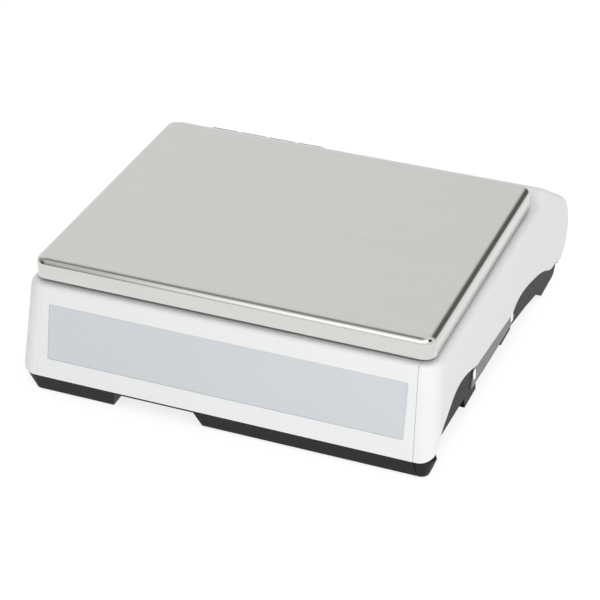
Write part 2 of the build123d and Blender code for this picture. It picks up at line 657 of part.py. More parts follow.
def pan_form(inset, height):
    size = (PLATTER_X_SIZE - 2 * inset, PLATTER_Y_SIZE - 2 * inset)
    outline = RectangleRounded(size[0], size[1], PLATTER_CORNER_R - inset)
    form = extrude(outline, amount=height)
    return fillet(form.faces().sort_by(Axis.Z)[-1].edges(), PLATTER_EDGE_R - inset)


def pad_places():
    return [(x, PLATTER_Y + y) for x in (-PAD_X, PAD_X) for y in (-PAD_Y, PAD_Y)]


def platter_pads():
    pads = []
    top = SPIDER_Z + SPIDER_HEIGHT
    for x, y in pad_places():
        pads.append(rod(x, y, top, top + PAD_HEIGHT, PAD_R) + rod(x, y, top - 5, top + 1, 3))
    return Compound(pads)


def cell_end():
    """Middle of the load cell's free end, along X."""
    return CELL_LENGTH / 2 - CELL_FOOT / 2


def spider():
    """Cast frame under the platter: two crossed arms, a middle plate and a foot on the load cell."""
    angle = math.degrees(math.atan2(PAD_Y, PAD_X))
    reach = 2 * math.hypot(PAD_X, PAD_Y)
    layer = (SPIDER_Z, SPIDER_Z + SPIDER_HEIGHT)
    frame = block((-55, CELL_LENGTH / 2 + 6), (PLATTER_Y - 27, PLATTER_Y + 27), layer)
    for turn in (-angle, angle):
        arm = Rot(0, 0, turn) * block((-reach / 2, reach / 2), (-ARM_HALF, ARM_HALF), layer)
        frame += Pos(0, PLATTER_Y, 0) * arm
    for x, y in pad_places():
        frame += rod(x, y, SPIDER_Z, SPIDER_Z + SPIDER_HEIGHT, 12)
        frame -= rod(x, y, SPIDER_Z + 4, SPIDER_Z + SPIDER_HEIGHT + 1, 3 + FIT)
    foot_x = (CELL_LENGTH / 2 - CELL_FOOT, CELL_LENGTH / 2)
    frame += block(foot_x, (PLATTER_Y - CELL_WIDTH / 2, PLATTER_Y + CELL_WIDTH / 2), (CELL_TOP, SPIDER_Z + 1))
    for x in CELL_SCREW_X:
        frame -= rod(x, PLATTER_Y, CELL_TOP - 1, SPIDER_Z + SPIDER_HEIGHT + 1, CELL_SCREW_R + FIT)
        frame -= rod(x, PLATTER_Y, SPIDER_Z + 3, SPIDER_Z + SPIDER_HEIGHT + 1, 5.4)
    return frame


def load_cell(side):
    """Half of the load cell bar: its two bores and slot make four thin bending webs at the middle."""
    x = (0.05, CELL_LENGTH / 2) if side > 0 else (-CELL_LENGTH / 2, -0.05)
    bar = block(x, (PLATTER_Y - CELL_WIDTH / 2, PLATTER_Y + CELL_WIDTH / 2), (CELL_Z, CELL_TOP))
    middle = CELL_Z + CELL_HEIGHT / 2
    bore = Cylinder(CELL_HOLE_R, 2 * CELL_WIDTH, rotation=(90, 0, 0))
    bar -= Pos(side * CELL_HOLE_X, PLATTER_Y, middle) * bore
    slot = (-CELL_HOLE_X, CELL_HOLE_X)
    slot_y = (PLATTER_Y - CELL_WIDTH, PLATTER_Y + CELL_WIDTH)
    bar -= block(slot, slot_y, (middle - CELL_SLOT / 2, middle + CELL_SLOT / 2))
    for x in CELL_SCREW_X:
        low, high = (CELL_Z - 1, CELL_TOP - 3) if side < 0 else (CELL_Z + 3, CELL_TOP + 1)
        bar -= rod(side * x, PLATTER_Y, low, high, CELL_SCREW_R + FIT)
    return bar


def load_cell_screws(side):
    """Two screws, from below at the fixed end and from above at the free end."""
    screws = []
    for x in CELL_SCREW_X:
        if side < 0:
            shank = rod(-x, PLATTER_Y, CHASSIS_Z, CELL_TOP - 4, CELL_SCREW_R)
            head = rod(-x, PLATTER_Y, CHASSIS_Z - 5, CHASSIS_Z, 5)
        else:
            shank = rod(x, PLATTER_Y, CELL_Z + 4, SPIDER_Z + 3, CELL_SCREW_R)
            head = rod(x, PLATTER_Y, SPIDER_Z + 3, SPIDER_Z + 8, 5)
        screws.append(shank + head)
    return Compound(screws)


def chassis_plate():
    """Cast plate that carries the load cell, with a raised seat under the cell's fixed end."""
    outline = Pos(0, PLATTER_Y, CHASSIS_Z) * RectangleRounded(CHASSIS_SIZE[0], CHASSIS_SIZE[1], 8)
    plate = extrude(outline, amount=CHASSIS_T)
    seat_y = (PLATTER_Y - CELL_WIDTH / 2, PLATTER_Y + CELL_WIDTH / 2)
    plate += block((-CELL_LENGTH / 2, -CELL_LENGTH / 2 + CELL_FOOT), seat_y, (CHASSIS_Z + 1, CELL_Z))
    for x, y in chassis_posts():
        plate -= rod(x, y, CHASSIS_Z - 1, CHASSIS_Z + CHASSIS_T + 1, 2.2)
    for x in CELL_SCREW_X:
        plate -= rod(-x, PLATTER_Y, CHASSIS_Z - 1, CELL_Z + 1, CELL_SCREW_R + FIT)
    plate -= rod(cell_end(), PLATTER_Y, CHASSIS_Z - 1, CELL_Z + 1, CELL_SCREW_R + FIT)
    return plate - rod(CABLE_X, PLATTER_Y, CHASSIS_Z - 1, CHASSIS_Z + CHASSIS_T + 1, 6)


def overload_stop():
    """Bolt that stops the load cell's free end before it bends too far."""
    head = rod(cell_end(), PLATTER_Y, CHASSIS_Z - 4, CHASSIS_Z, 5)
    return head + rod(cell_end(), PLATTER_Y, CHASSIS_Z, CELL_Z - OVERLOAD_GAP, CELL_SCREW_R)


def load_cell_cable():
    """Lead from the load cell's fixed end, through the chassis plate, to the main board."""
    start = (-CELL_LENGTH / 2, PLATTER_Y, CELL_Z + CELL_HEIGHT / 2)
    plug = (BOARD_AT[0] - BOARD_SIZE[0] / 2 + 2, PLATTER_Y, CABLE_LOW_Z)
    bends = [(CABLE_X, PLATTER_Y, start[2]), (CABLE_X, PLATTER_Y, CABLE_LOW_Z)]
    route = FilletPolyline(start, *bends, plug, radius=list(CABLE_BENDS))
    section = Plane(origin=start, z_dir=(-1, 0, 0)) * Circle(CABLE_R)
    return sweep(section, path=route)


# ---- electrics -----------------------------------------------------------------------------
def main_board():
    x, y = BOARD_AT
    top = BOARD_Z + BOARD_T
    half_x, half_y = (BOARD_SIZE[0] / 2, BOARD_SIZE[1] / 2)
    board = block((x - half_x, x + half_x), (y - half_y, y + half_y), (BOARD_Z, top))
    for px, py in board_posts():
        board -= rod(px, py, 0, FAR_AWAY, 1.7)
    cell_plug_x = (x - half_x + 2, x - half_x + 10)
    board += block(cell_plug_x, (PLATTER_Y - 4.5, PLATTER_Y + 3.5), (top - 0.5, top + 8))
    board += block((x - 12, x + 12), (y - 12, y + 12), (top - 0.5, top + 3))
    board += block((x + 26, x + 44), (y - 18, y - 4), (top - 0.5, top + 14))
    board += block((x - 44, x - 20), (y - 32, y - 26), (top - 0.5, top + 7))
    for i in range(3):
        board += rod(x + 24 + 9 * i, y + 24, top - 0.5, top + 10, 3.5)
    return board


def battery():
    half_x, half_y = (BATTERY_SIZE[0] / 2, BATTERY_SIZE[1] / 2)
    low = DOOR_Z + DOOR_T + 0.3
    high = low + BATTERY_SIZE[2]
    case = block((-half_x, half_x), (BATTERY_Y - half_y, BATTERY_Y + half_y), (low, high - 2))
    case = fillet(case.edges(), 1.5)
    for side in (-1, 1):
        y = BATTERY_Y + side * 22
        case += block((half_x - 16, half_x - 8), (y - 3, y + 3), (high - 3, high))
    return case


def battery_door():
    half_x, half_y = (DOOR_SIZE[0] / 2, DOOR_SIZE[1] / 2)
    door = block((-half_x, half_x), (BATTERY_Y - half_y, BATTERY_Y + half_y), (DOOR_Z, DOOR_Z + DOOR_T))
    for i in range(5):
        y = BATTERY_Y + half_y - 12 - 4 * i
        door += block((-16, 16), (y - 1, y + 1), (DOOR_Z - 0.7, DOOR_Z + 0.5))
    return door


def power_switch_frame():
    place = on_left(SWITCH_AT)
    frame = slab(LEFT, place, (23, 15.6), 0, RIM, 1.5) + slab(LEFT, place, (19, 13), -13, RIM)
    frame -= slab(LEFT, place, (15, 10), -9, RIM + 1)
    for side in (-4, 4):
        frame += slab(LEFT, (place[0] + side, place[1]), (1, 5), -18, -12)
    return frame - rocker_pin(0.05)


def rocker_pin(fit):
    x = PAD_FACE_X - RIM + ROCKER_PIVOT
    half = 6.1 + fit
    return rod(x, SWITCH_AT[0], SWITCH_AT[1] - half, SWITCH_AT[1] + half, 1 + fit)


def power_rocker():
    """Rocker with a shallow V on its face, tipped towards off."""
    flat = Polygon((-6.2, -6), (6.2, -6), (6.8, 1.2), (0, 0.1), (-6.8, 1.2), align=None)
    tipped = Pos(0, -ROCKER_PIVOT) * Rot(0, 0, -ROCKER_TILT) * Pos(0, ROCKER_PIVOT) * flat
    z = SWITCH_AT[1] + 4.7
    plane = Plane(origin=(PAD_FACE_X - RIM, SWITCH_AT[0], z), x_dir=(0, -1, 0), z_dir=(0, 0, -1))
    return extrude(plane * tipped, amount=9.4, dir=(0, 0, -1)) + rocker_pin(0)


def dc_jack():
    place = on_left(JACK_AT)
    jack = disc(LEFT, place, 7, 0, RIM) + disc(LEFT, place, 5.4, -13, RIM)
    jack -= disc(LEFT, place, 2.8, -9.5, RIM + 1)
    return jack + disc(LEFT, place, 1, -10, -0.5)


def serial_port():
    """Nine way socket: flange, raised shell, body and two jack nuts."""
    place = on_left(PORT_AT)
    port = slab(LEFT, place, (31, 12.5), 0, 0.8, 1.5) + slab(LEFT, place, (19, 9), -12, 0.5)
    shell = slab(LEFT, place, (17, 8.4), 0.5, 2.9, 2.5) - slab(LEFT, place, (16, 7.4), 0.8, 3, 2)
    port += shell
    for row, count in ((1, 5), (-1, 4)):
        for i in range(count):
            pin = (place[0] + 2.77 * (i - (count - 1) / 2), place[1] + 1.42 * row)
            port -= disc(LEFT, pin, 0.6, -5, 3)
    for side in (-1, 1):
        nut = (place[0] + side * PORT_SCREW, place[1])
        port += LEFT * Pos(nut[0], nut[1], 0.4) * extrude(RegularPolygon(2.9, 6), amount=2.5)
        port += disc(LEFT, nut, 1.5, -7, 0.5)
        port -= disc(LEFT, nut, 1.42, -4, 3.5)
    return port


# ---- data plate, feet, fasteners -----------------------------------------------------------
def wall_sheet(outline, low, high):
    """Sheet lying on the right wall of the base, between two heights above the wall."""
    sheet = side_block(outline, TUB_HALF, FAR_AWAY) & front_view(BASE_INSET - high)
    return sheet - front_view(BASE_INSET - low)


def data_plate():
    outline = Polygon(*PLATE_OUTLINE, align=None)
    outline = fillet(outline.vertices(), 1.2)
    return wall_sheet(outline, 0, PLATE_T)


def seal_stickers():
    outline = RectangleRounded(STICKER_SIZE[0], STICKER_SIZE[1], STICKER_SIZE[0] / 2 - 0.1)
    stickers = []
    for y, z in STICKERS:
        stickers.append(wall_sheet(Pos(y, z) * outline, PLATE_T, PLATE_T + STICKER_T).solid())
    return Compound(stickers)


def foot_pad(x, y):
    pad = rod(x, y, 0, FOOT_PAD_T, FOOT_R)
    pad = fillet(pad.edges(), 0.8)
    return pad - rod(x, y, 2, FOOT_PAD_T + 1, 3 + FIT)


def foot_stud(x, y):
    """Threaded stud with a finger wheel, turning in the rubber pad."""
    wheel = rod(x, y, FOOT_PAD_T + FIT, FOOT_POCKET_TOP - 0.3, 11)
    pin = rod(x, y, 2 + FIT, FOOT_PAD_T + 1, 3)
    return wheel + pin + rod(x, y, FOOT_PAD_T + 1, FOOT_POCKET_TOP + 24, STUD_R)


def cover_screws():
    screws = []
    for x, y in COVER_POST:
        for side in (-1, 1):
            head = rod(side * x, y, COVER_SCREW_Z - 3, COVER_SCREW_Z, 3.8)
            screws.append(head + rod(side * x, y, COVER_SCREW_Z, TRAY_TOP_Z + 18, 2))
    return Compound(screws)


def frame_screws():
    """Screws that hold the chassis plate on its posts."""
    top = CHASSIS_Z + CHASSIS_T
    screws = []
    for x, y in chassis_posts():
        screws.append(rod(x, y, top, top + 3, 3.8) + rod(x, y, CHASSIS_Z - 12, top + 1, 2))
    return Compound(screws)


def board_screws():
    """Small screws of the three circuit boards."""
    top = BOARD_Z + BOARD_T
    screws = [rod(x, y, top, top + 2, 2.8) + rod(x, y, BOARD_Z - 5, top + 1, 1.5) for x, y in board_posts()]
    for place in console_posts():
        screws.append(screw_down(CONSOLE, place, BOARD_TOP - BOARD_T, 2.8, 2, 1.5, 6))
    for place in panel_posts():
        screws.append(screw_down(FACE, place, PANEL_BOARD_TOP - BOARD_T, 2.8, 2, 1.5, 5.5))
    return Compound(screws)


# ---- write every piece ---------------------------------------------------------------------
PIECES = {
    "base_tray": base_tray,
    "front_skirt": front_skirt,
    "upper_cover": upper_cover,
    "front_panel": front_panel,
    "front_window": front_window,
    "customer_lcd": customer_lcd,
    "customer_board": customer_board,
    "operator_window": operator_window,
    "operator_lcd": operator_lcd,
    "console_board": console_board,
    "key_switches": key_switches,
    "level_ring": level_ring,
    "level_vial": level_vial,
    "platter": platter,
    "platter_pads": platter_pads,
    "spider": spider,
    "chassis_plate": chassis_plate,
    "overload_stop": overload_stop,
    "load_cell_cable": load_cell_cable,
    "main_board": main_board,
    "battery": battery,
    "battery_door": battery_door,
    "power_switch_frame": power_switch_frame,
    "power_rocker": power_rocker,
    "dc_jack": dc_jack,
    "serial_port": serial_port,
    "data_plate": data_plate,
    "seal_stickers": seal_stickers,
    "cover_screws": cover_screws,
    "frame_screws": frame_screws,
    "board_screws": board_screws,
}
for name, make in PIECES.items():
    save(name, make())
save("load_cell_fixed_end", load_cell(-1))
save("load_cell_free_end", load_cell(1))
save("load_cell_fixed_screws", load_cell_screws(-1))
save("load_cell_free_screws", load_cell_screws(1))
for name, place in key_places():
    save(name, key_cap(place))
for number, (x, y) in enumerate(foot_places(), 1):
    save("foot_pad_" + str(number), foot_pad(x, y))
    save("foot_stud_" + str(number), foot_stud(x, y))
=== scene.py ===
import json
import math

import bmesh
import bpy
from mathutils import Matrix, Vector


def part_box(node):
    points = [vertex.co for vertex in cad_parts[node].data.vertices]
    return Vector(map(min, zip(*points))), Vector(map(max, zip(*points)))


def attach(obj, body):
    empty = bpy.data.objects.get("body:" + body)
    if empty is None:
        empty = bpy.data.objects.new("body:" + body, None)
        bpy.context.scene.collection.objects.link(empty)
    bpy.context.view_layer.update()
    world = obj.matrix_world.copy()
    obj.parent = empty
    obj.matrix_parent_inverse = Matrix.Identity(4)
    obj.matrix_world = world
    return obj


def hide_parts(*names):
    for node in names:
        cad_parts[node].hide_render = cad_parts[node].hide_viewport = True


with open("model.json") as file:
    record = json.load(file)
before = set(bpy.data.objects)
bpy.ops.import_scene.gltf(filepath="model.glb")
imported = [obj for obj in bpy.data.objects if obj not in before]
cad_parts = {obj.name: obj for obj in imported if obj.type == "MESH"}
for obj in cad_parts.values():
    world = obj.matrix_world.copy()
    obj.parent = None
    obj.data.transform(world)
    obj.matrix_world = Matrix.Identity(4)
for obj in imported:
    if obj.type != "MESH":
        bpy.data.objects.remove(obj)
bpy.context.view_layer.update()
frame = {"nodes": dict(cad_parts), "record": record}
NODES = frame["nodes"]
RECORD = frame["record"]
BODY_OF = {node: body for body, members in RECORD["behaviour"]["bodies"].items() for node in members}
JOINTS = {joint["name"]: joint for joint in RECORD["behaviour"]["joints"]}
MM = 0.001

# ---- camera, floor and light ---------------------------------------------------------------
CAMERA_AZIMUTH = math.radians(22.28)      # 0 looks along +Y, and grows towards the object's right
CAMERA_ELEVATION = math.radians(32.25)
CAMERA_ROLL = math.radians(-0.471)
CAMERA_DISTANCE = 1.7073
CAMERA_TARGET = Vector((0.0006, -0.0185, 0.0314))
CAMERA_LENS = 123.34
CAMERA_SENSOR = 36.0
FLOOR_HALF = 6.0


def add_camera():
    back = Vector((
        math.sin(CAMERA_AZIMUTH) * math.cos(CAMERA_ELEVATION),
        -math.cos(CAMERA_AZIMUTH) * math.cos(CAMERA_ELEVATION),
        math.sin(CAMERA_ELEVATION)))
    right = Vector((0, 0, 1)).cross(back).normalized()
    up = back.cross(right)
    rolled_right = right * math.cos(CAMERA_ROLL) + up * math.sin(CAMERA_ROLL)
    rolled_up = up * math.cos(CAMERA_ROLL) - right * math.sin(CAMERA_ROLL)
    data = bpy.data.cameras.new("camera")
    data.sensor_width = CAMERA_SENSOR
    data.lens = CAMERA_LENS
    data.clip_end = 50
    camera = bpy.data.objects.new("camera", data)
    turn = Matrix((rolled_right, rolled_up, back)).transposed().to_4x4()
    camera.matrix_world = Matrix.Translation(CAMERA_TARGET + back * CAMERA_DISTANCE) @ turn
    bpy.context.scene.collection.objects.link(camera)
    bpy.context.scene.camera = camera


def add_light(name, place, target, size, power):
    data = bpy.data.lights.new(name, "AREA")
    data.shape = "RECTANGLE"
    data.size, data.size_y = size
    data.energy = power
    light = bpy.data.objects.new(name, data)
    light.location = place
    light.rotation_euler = (Vector(target) - Vector(place)).to_track_quat("-Z", "Y").to_euler()
    bpy.context.scene.collection.objects.link(light)


# Direction in the studio, inner and outer half angle in degrees, brightness there.
STUDIO_PATCHES = (
    ((-0.22, -0.78, 0.58), 12, 20, 1.7),
    ((-0.32, 0.00, 0.95), 8, 26, 0.30),
    ((-0.85, -0.42, 0.32), 30, 40, 0.38),
    ((-0.70, -0.70, 0.08), 12, 28, 0.05),
    ((0.66, -0.12, 0.74), 11, 22, 0.02),
    ((0.38, 0.79, 0.42), 12, 33, 0.14),
)
# Name, place, aim and size in metres, power in watts.
AREA_LIGHTS = (
    ("key", (1.1, -1.6, 1.9), (0.05, -0.1, 0.05), (1.2, 0.9), 6),
    ("front_floor", (0.45, -0.75, 0.85), (0.30, -0.42, 0), (0.5, 0.4), 4),
)
FLOOR_BASE = 0.30
FLOOR_GLOW = 0.80


def add_studio():
    """A white room with a few darker and brighter areas, for the metal to reflect."""
    world = bpy.data.worlds.new("studio")
    bpy.context.scene.world = world
    world.use_nodes = True
    tree = world.node_tree
    background = tree.nodes["Background"]
    direction = tree.nodes.new("ShaderNodeTexCoord").outputs["Generated"]
    level = 1.0
    for towards, inner, outer, brightness in STUDIO_PATCHES:
        dot = tree.nodes.new("ShaderNodeVectorMath")
        dot.operation = "DOT_PRODUCT"
        tree.links.new(direction, dot.inputs[0])
        dot.inputs[1].default_value = Vector(towards).normalized()
        blend = tree.nodes.new("ShaderNodeMapRange")
        blend.interpolation_type = "SMOOTHSTEP"
        blend.inputs["From Min"].default_value = math.cos(math.radians(outer))
        blend.inputs["From Max"].default_value = math.cos(math.radians(inner))
        tree.links.new(dot.outputs["Value"], blend.inputs["Value"])
        mix = tree.nodes.new("ShaderNodeMix")
        tree.links.new(blend.outputs["Result"], mix.inputs["Factor"])
        if isinstance(level, float):
            mix.inputs["A"].default_value = level
        else:
            tree.links.new(level, mix.inputs["A"])
        mix.inputs["B"].default_value = brightness
        level = mix.outputs["Result"]
    tree.links.new(level, background.inputs["Strength"])
    background.inputs["Color"].default_value = (1, 1, 1, 1)


def add_floor():
    bpy.ops.mesh.primitive_plane_add(size=2 * FLOOR_HALF)
    floor = bpy.context.object
    floor.name = "floor"
    material = Shader("floor")
    material.set("Base Color", (FLOOR_BASE, FLOOR_BASE, FLOOR_BASE, 1))
    material.set("Roughness", 0.9)
    material.set("Specular IOR Level", 0.0)
    material.set("Emission Color", (1, 1, 1, 1))
    material.set("Emission Strength", FLOOR_GLOW)
    floor.data.materials.append(material.done)


# ---- material building ---------------------------------------------------------------------
class Shader:
    """A node material that starts from one Principled BSDF."""

    def __init__(self, name):
        self.done = bpy.data.materials.new(name)
        self.done.use_nodes = True
        self.tree = self.done.node_tree
        self.bsdf = self.tree.nodes["Principled BSDF"]
        self.place = None

    def set(self, socket, value):
        self.bsdf.inputs[socket].default_value = value

    def link(self, output, target):
        self.tree.links.new(output, target)

    def node(self, kind, **sockets):
        made = self.tree.nodes.new("ShaderNode" + kind)
        for socket, value in sockets.items():
            made.inputs[socket].default_value = value
        return made

    def coords(self, stretch=(1, 1, 1)):
        """The piece's own coordinates in metres, stretched."""
        if self.place is None:
            self.place = self.node("TexCoord").outputs["Object"]
        mapping = self.node("Mapping")
        mapping.inputs["Scale"].default_value = stretch
        self.link(self.place, mapping.inputs["Vector"])
        return mapping.outputs["Vector"]

    def noise(self, size, detail=2.0, stretch=(1, 1, 1), rough=0.5):
        """Noise whose features are about size metres across."""
        made = self.node("TexNoise", Scale=1 / size, Detail=detail, Roughness=rough)
        self.link(self.coords(stretch), made.inputs["Vector"])
        return made.outputs["Fac"]

    def span(self, value, low, high, from_low=0.3, from_high=0.7):
        """A value spread from low to high."""
        made = self.node("MapRange")
        made.inputs["From Min"].default_value = from_low
        made.inputs["From Max"].default_value = from_high
        made.inputs["To Min"].default_value = low
        made.inputs["To Max"].default_value = high
        self.link(value, made.inputs["Value"])
        return made.outputs["Result"]

    def mix(self, factor, a, b):
        """Colour between a and b."""
        made = self.node("Mix")
        made.data_type = "RGBA"
        self.link(factor, made.inputs["Factor"])
        for socket, value in (("A", a), ("B", b)):
            slot = [s for s in made.inputs if s.name == socket and s.type == "RGBA"][0]
            if isinstance(value, tuple):
                slot.default_value = (*value, 1)
            else:
                self.link(value, slot)
        return [s for s in made.outputs if s.type == "RGBA"][0]

    def colour(self, output):
        self.link(output, self.bsdf.inputs["Base Color"])

    def roughness(self, output):
        self.link(output, self.bsdf.inputs["Roughness"])

    def bump(self, height, depth, strength=1.0, under=None):
        made = self.node("Bump", Strength=strength, Distance=depth)
        self.link(height, made.inputs["Height"])
        if under is not None:
            self.link(under, made.inputs["Normal"])
        self.link(made.outputs["Normal"], self.bsdf.inputs["Normal"])
        return made.outputs["Normal"]


def shade(colour, factor):
    return tuple(min(1.0, c * factor) for c in colour)


def plastic(name, colour, rough=0.45, grain=0.0005, depth=0.00001, vary=0.03, coat=0.0, specular=0.5):
    """Moulded plastic: fine spark-eroded grain, slow waves of tone and gloss."""
    m = Shader(name)
    slow = m.noise(0.05, 3)
    fine = m.noise(grain, 2)
    m.colour(m.mix(slow, shade(colour, 1 - vary), shade(colour, 1 + vary)))
    m.roughness(m.span(fine, rough - 0.05, rough + 0.05))
    waves = m.bump(slow, 0.00006, 0.4)
    m.bump(fine, depth, 0.6, waves)
    m.set("Coat Weight", coat)
    m.set("Coat Roughness", 0.15)
    m.set("Specular IOR Level", specular)
    return m.done


def cast_metal(name, colour, rough=0.5, grain=0.0009, depth=0.00005, metallic=1.0):
    """Sand or die cast surface: lumpy grain with paler high spots."""
    m = Shader(name)
    lumps = m.noise(grain, 4, rough=0.6)
    slow = m.noise(0.03, 2)
    m.colour(m.mix(slow, shade(colour, 0.88), shade(colour, 1.06)))
    m.roughness(m.span(lumps, rough - 0.1, rough + 0.12))
    m.bump(lumps, depth, 0.7)
    m.set("Metallic", metallic)
    return m.done


def turned_metal(name, colour, rough=0.25, line=0.00025, stretch=(1, 1, 0.02)):
    """Machined or drawn metal: fine lines one way, and a soft cloud of tone."""
    m = Shader(name)
    lines = m.noise(line, 3, stretch)
    cloud = m.noise(0.02, 3)
    m.colour(m.mix(cloud, shade(colour, 0.9), shade(colour, 1.08)))
    m.roughness(m.span(lines, rough - 0.08, rough + 0.1))
    m.bump(lines, 0.000008, 0.5)
    m.set("Metallic", 1.0)
    return m.done


def stainless():
    """Satin stainless sheet: fine brush lines on the flat top, and a polished edge."""
    m = Shader("stainless")
    low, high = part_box("platter")
    split = m.node("SeparateXYZ")
    m.link(m.coords(), split.inputs["Vector"])
    flat = m.span(split.outputs["Z"], 0.0, 1.0, high.z - 0.9 * MM, high.z - 0.1 * MM)
    brush = m.noise(0.0005, 5, (0.02, 1, 1), rough=0.6)
    streak = m.noise(0.004, 4, (0.05, 1, 1))
    cloud = m.noise(0.09, 3)
    tone = m.mix(cloud, (0.608, 0.602, 0.574), (0.628, 0.622, 0.600))
    streaked = m.mix(m.span(streak, 0.0, 1.0), (0.600, 0.594, 0.566), (0.632, 0.626, 0.602))
    m.colour(m.mix(m.span(brush, 0.2, 0.8), tone, streaked))
    satin = m.span(brush, 0.33, 0.40)
    glossy = m.span(brush, 0.10, 0.17)
    choose = m.node("Mix")
    m.link(flat, choose.inputs["Factor"])
    m.link(glossy, choose.inputs["A"])
    m.link(satin, choose.inputs["B"])
    m.roughness(choose.outputs["Result"])
    under = m.bump(streak, 0.00002, 0.25)
    m.bump(brush, 0.000006, 0.35, under)
    m.set("Metallic", 1.0)
    return m.done


def tinted_window():
    """Satin tinted acrylic: a faint cloud under a smooth coat."""
    m = Shader("tinted_window")
    slow = m.noise(0.12, 2)
    m.colour(m.mix(slow, (0.490, 0.518, 0.538), (0.512, 0.530, 0.565)))
    m.roughness(m.span(m.noise(0.0004, 2), 0.22, 0.30))
    m.bump(slow, 0.00008, 0.15)
    m.set("Coat Weight", 0.4)
    m.set("Coat Roughness", 0.08)
    return m.done


def clear_window():
    """Clear acrylic over the display, slightly grey, with fine wipe marks."""
    m = Shader("clear_window")
    marks = m.noise(0.0006, 3, (0.1, 1, 1))
    m.colour(m.mix(marks, (0.50, 0.53, 0.55), (0.55, 0.58, 0.60)))
    m.roughness(m.span(marks, 0.05, 0.11))
    m.set("Alpha", 0.22)
    return m.done


def display_glass():
    """Reflective liquid crystal glass: grey green with a fine dot grain."""
    m = Shader("display_glass")
    grain = m.noise(0.0003, 2)
    slow = m.noise(0.06, 2)
    tone = m.mix(slow, (0.37, 0.42, 0.34), (0.42, 0.47, 0.39))
    m.colour(m.mix(m.span(grain, 0.0, 0.35), tone, (0.33, 0.37, 0.31)))
    m.roughness(m.span(grain, 0.25, 0.35))
    return m.done


def circuit_board():
    """Green solder mask with a raised trace pattern."""
    m = Shader("circuit_board")
    traces = m.node("TexBrick")
    traces.inputs["Scale"].default_value = 60
    traces.inputs["Mortar Size"].default_value = 0.012
    traces.inputs["Color1"].default_value = (0.010, 0.085, 0.035, 1)
    traces.inputs["Color2"].default_value = (0.014, 0.105, 0.045, 1)
    traces.inputs["Mortar"].default_value = (0.030, 0.190, 0.085, 1)
    m.link(m.coords(), traces.inputs["Vector"])
    m.colour(traces.outputs["Color"])
    m.roughness(m.span(m.noise(0.002), 0.2, 0.35))
    m.bump(traces.outputs["Fac"], 0.00004, 0.6)
    return m.done


def level_liquid():
    """Clear yellow green liquid behind a glossy surface."""
    m = Shader("level_liquid")
    slow = m.noise(0.004, 2)
    m.colour(m.mix(slow, (0.42, 0.66, 0.10), (0.52, 0.76, 0.16)))
    m.roughness(m.span(slow, 0.03, 0.07))
    m.set("Alpha", 0.72)
    m.set("Coat Weight", 1.0)
    return m.done


def paper_seal():
    """White paper with a fine woven security tint and no lettering."""
    m = Shader("paper_seal")
    wave = m.node("TexWave", Scale=900, Distortion=4, Detail=1)
    m.link(m.coords(), wave.inputs["Vector"])
    m.colour(m.mix(wave.outputs["Fac"], (0.86, 0.86, 0.85), (0.93, 0.93, 0.93)))
    m.roughness(m.span(m.noise(0.0004, 3), 0.55, 0.7))
    m.bump(m.noise(0.0003, 3), 0.000008, 0.5)
    return m.done


RUBBER_BLACK = (0.018, 0.018, 0.019)


def rubber():
    """Black rubber with a fine matt grain and a little dust."""
    m = Shader("rubber")
    fine = m.noise(0.0004, 3)
    dust = m.noise(0.012, 4)
    m.colour(m.mix(m.span(dust, 0.0, 0.6), RUBBER_BLACK, shade(RUBBER_BLACK, 2.2)))
    m.roughness(m.span(fine, 0.65, 0.85))
    m.bump(fine, 0.00002, 0.7)
    m.set("Sheen Weight", 0.15)
    return m.done


MATERIALS = {
    "base_plastic": plastic(
        "base_plastic", (0.006, 0.006, 0.007), 0.42, 0.0006, 0.00002, 0.08, specular=0.09),
    "housing_plastic": plastic(
        "housing_plastic", (0.685, 0.692, 0.692), 0.38, 0.0007, 0.000006, 0.012, specular=0.35),
    "front_window": tinted_window(),
    "operator_window": clear_window(),
    "lcd_glass": display_glass(),
    "circuit_board": circuit_board(),
    "switch_plastic": plastic(
        "switch_plastic", (0.015, 0.015, 0.016), 0.28, 0.0008, 0.000006, 0.1, 0.3),
    "key_plastic": plastic("key_plastic", (0.33, 0.35, 0.38), 0.5, 0.0005, 0.00001, 0.05),
    "level_clear": level_liquid(),
    "level_rim": turned_metal("level_rim", (0.75, 0.75, 0.76), 0.14, 0.0003, (1, 1, 1)),
    "steel": cast_metal("steel", (0.19, 0.20, 0.21), 0.5, 0.0012, 0.00005, 0.0),
    "stainless": stainless(),
    "load_cell_alloy": turned_metal("load_cell_alloy", (0.72, 0.72, 0.73), 0.3, 0.0004, (0.03, 1, 1)),
    "cast_alloy": cast_metal("cast_alloy", (0.58, 0.59, 0.60), 0.45),
    "fastener_steel": turned_metal("fastener_steel", (0.62, 0.62, 0.60), 0.22),
    "foot_steel": turned_metal("foot_steel", (0.55, 0.54, 0.52), 0.28),
    "cable_jacket": plastic("cable_jacket", (0.03, 0.03, 0.03), 0.5, 0.0008, 0.00001, 0.1),
    "plate_metal": turned_metal("plate_metal", (0.20, 0.20, 0.20), 0.42, 0.0004, (1, 0.03, 1)),
    "sticker": paper_seal(),
    "rubber": rubber(),
}
WINDOW_SLOT = "window"


def dress_nodes():
    """Gives every CAD node the material of its slot."""
    for part in RECORD["subparts"]:
        node = part["node"]
        slot = part["material_slot"]
        key = node if slot == WINDOW_SLOT else slot
        mesh = NODES[node].data
        mesh.materials.clear()
        mesh.materials.append(MATERIALS[key])


# ---- helpers for extra pieces --------------------------------------------------------------
def finish_piece(piece, body, material):
    piece.data.materials.clear()
    piece.data.materials.append(material)
    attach(piece, body)
    return piece


